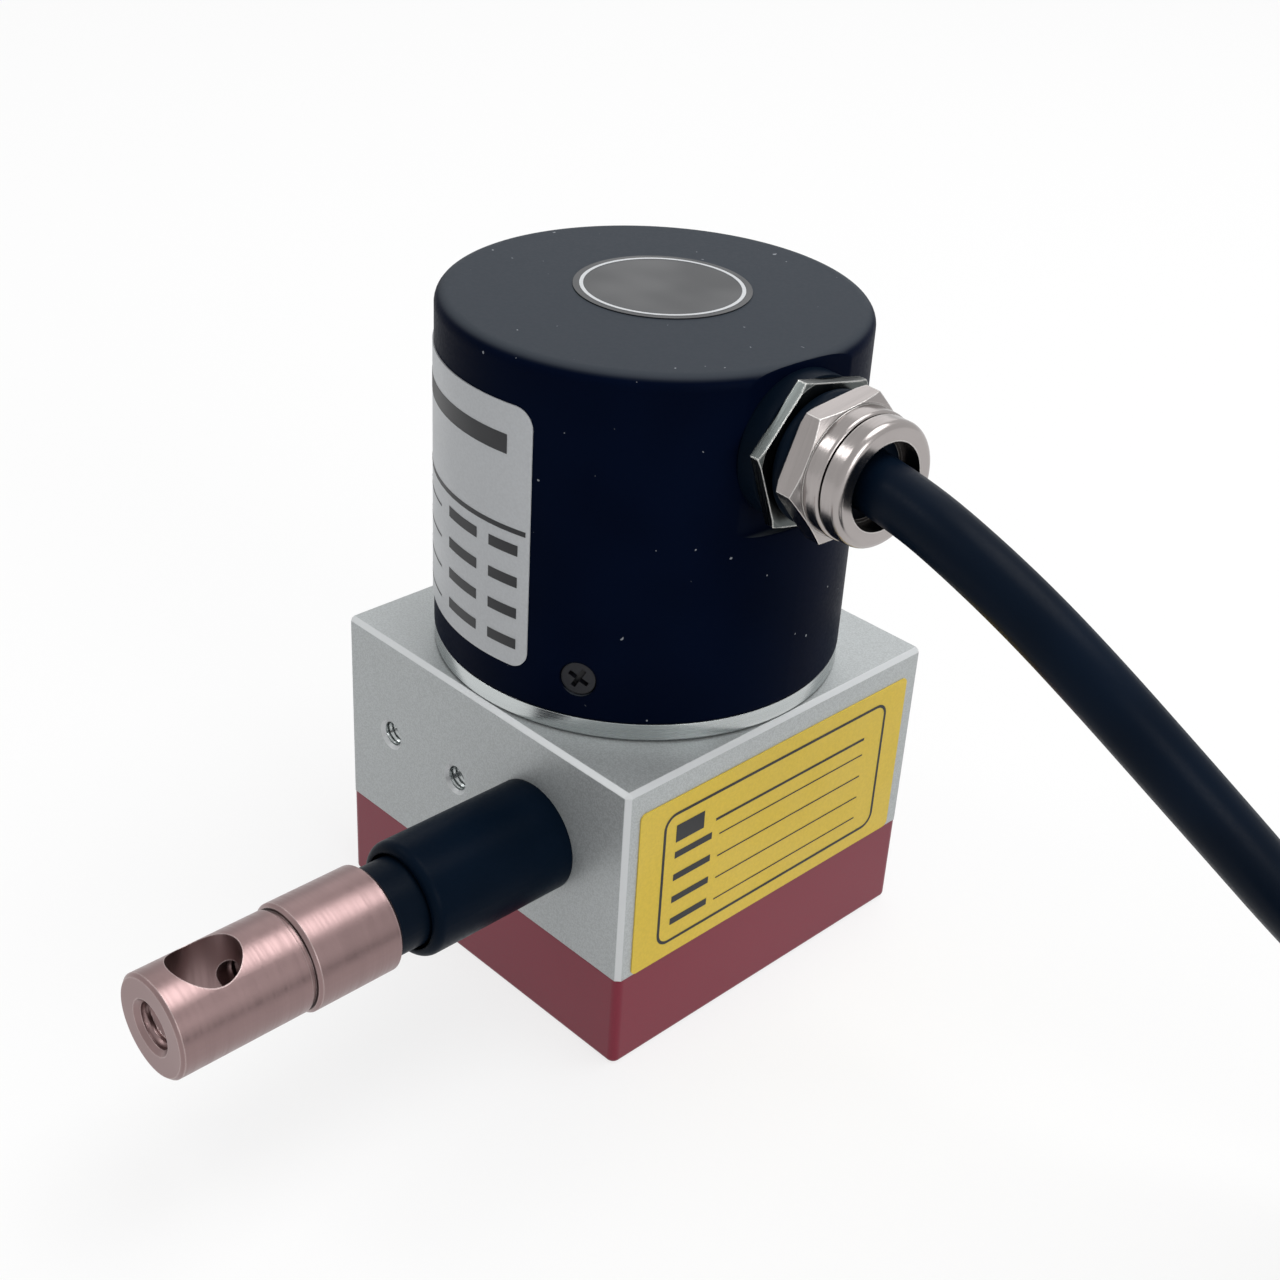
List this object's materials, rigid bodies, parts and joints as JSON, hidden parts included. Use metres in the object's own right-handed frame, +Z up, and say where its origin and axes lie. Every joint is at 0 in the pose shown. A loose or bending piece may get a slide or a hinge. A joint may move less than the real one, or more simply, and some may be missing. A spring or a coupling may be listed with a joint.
{
  "type": "string potentiometer",
  "caption": "Draw-wire position sensor: square housing with a spring wound wire drum, a side wire outlet with a pull eye, and a round cabled encoder on top.",
  "frame": {"origin": "on the shaft's axis, in the plane of the base's bottom face", "axes": "+Z up along the shaft, from the base to the encoder cover; -Y the way the wire leaves; +X the side of the cable gland"},
  "size_m": [0.1772, 0.0936, 0.0657],
  "materials": {
    "base_red": "wine red anodised, satin",
    "block_silver": "clear anodised, fine bead blasted",
    "flange_silver": "turned, satin",
    "cover_black": "satin black",
    "steel_screw": "plain",
    "black_screw": "blackened",
    "spring_steel": "polished strip",
    "bearing_steel": "polished",
    "cage_steel": "pressed",
    "drum_aluminium": "turned",
    "wire_steel": "stranded, coated",
    "gasket_black": "matt",
    "seal_black": "satin",
    "gland_nickel": "nickel plated, satin",
    "nut_nickel": "nickel plated, dull",
    "tube_black": "satin",
    "guide_ceramic": "polished",
    "end_rose": "rose gold, satin",
    "ferrule_brass": "plain",
    "label_yellow": "printed, satin",
    "label_white": "printed, satin",
    "label_dark": "printed, satin",
    "cable_black": "satin jacket",
    "lead_white": "insulated wires",
    "board_green": "solder resist",
    "chip_black": "moulded",
    "connector_white": "moulded",
    "spacer_brass": "plain",
    "disc_steel": "etched",
    "lamp_clear": "clear"
  },
  "bodies": {
    "housing": {"spring_housing": "base_red", "drum_housing": "block_silver", "housing_screws": "steel_screw", "spring_plate": "drum_aluminium", "power_spring": "spring_steel", "bearing_outer_rings": "bearing_steel", "bearing_shields": "cage_steel", "flange_gasket": "gasket_black", "encoder_flange": "flange_silver", "flange_screws": "steel_screw", "encoder_cover": "cover_black", "cover_screws": "black_screw", "light_source": "lamp_clear", "photo_sensor": "chip_black", "encoder_board": "board_green", "board_spacers": "spacer_brass", "board_screws": "steel_screw", "board_chips": "chip_black", "cable_connector": "connector_white", "signal_leads": "lead_white", "gland_washer": "seal_black", "gland_locknut": "nut_nickel", "gland_seal": "seal_black", "gland_body": "gland_nickel", "gland_insert": "seal_black", "cable_stub": "cable_black", "outlet_tube": "tube_black", "outlet_buffer": "seal_black", "wire_guide": "guide_ceramic", "side_label": "label_yellow", "cover_label": "label_white", "top_label": "label_dark", "cable_tube": "cable_black", "cable_coil": "cable_black", "cable_tail": "cable_black", "cable_leads": "lead_white"},
    "drum_shaft": {"spring_arbor": "drum_aluminium", "shaft": "bearing_steel", "shaft_clip": "spring_steel", "wire_drum": "drum_aluminium", "drum_set_screw": "black_screw", "wound_wire": "wire_steel", "bearing_inner_rings": "bearing_steel", "disc_hub": "drum_aluminium", "hub_set_screw": "black_screw", "code_disc": "disc_steel"},
    "ball_cages": {"bearing_balls": "bearing_steel", "bearing_cages": "cage_steel"},
    "pull_end": {"wire_end": "end_rose", "wire_ferrule": "ferrule_brass", "measuring_wire": "wire_steel"}
  },
  "joints": [
    {"name": "wire_pull", "type": "slide", "parent": "housing", "child": "pull_end", "axis": [0, -1, 0], "range_m": [0, 0.6], "stiffness_N_per_m": 2, "springref_m": -1, "deforming": ["measuring_wire"]},
    {"name": "drum_spin", "type": "hinge", "parent": "housing", "child": "drum_shaft", "pos_m": [0, 0, 0.02], "axis": [0, 0, -1], "range_deg": [-5, 4325], "deforming": ["power_spring"]},
    {"name": "cage_spin", "type": "hinge", "parent": "housing", "child": "ball_cages", "pos_m": [0, 0, 0.03], "axis": [0, 0, -1], "range_deg": [-5, 1735]}
  ],
  "couplings": [
    {"joint": "drum_spin", "follows": "wire_pull", "rad_per_m": 125.66},
    {"joint": "cage_spin", "follows": "wire_pull", "rad_per_m": 50.265}
  ]
}
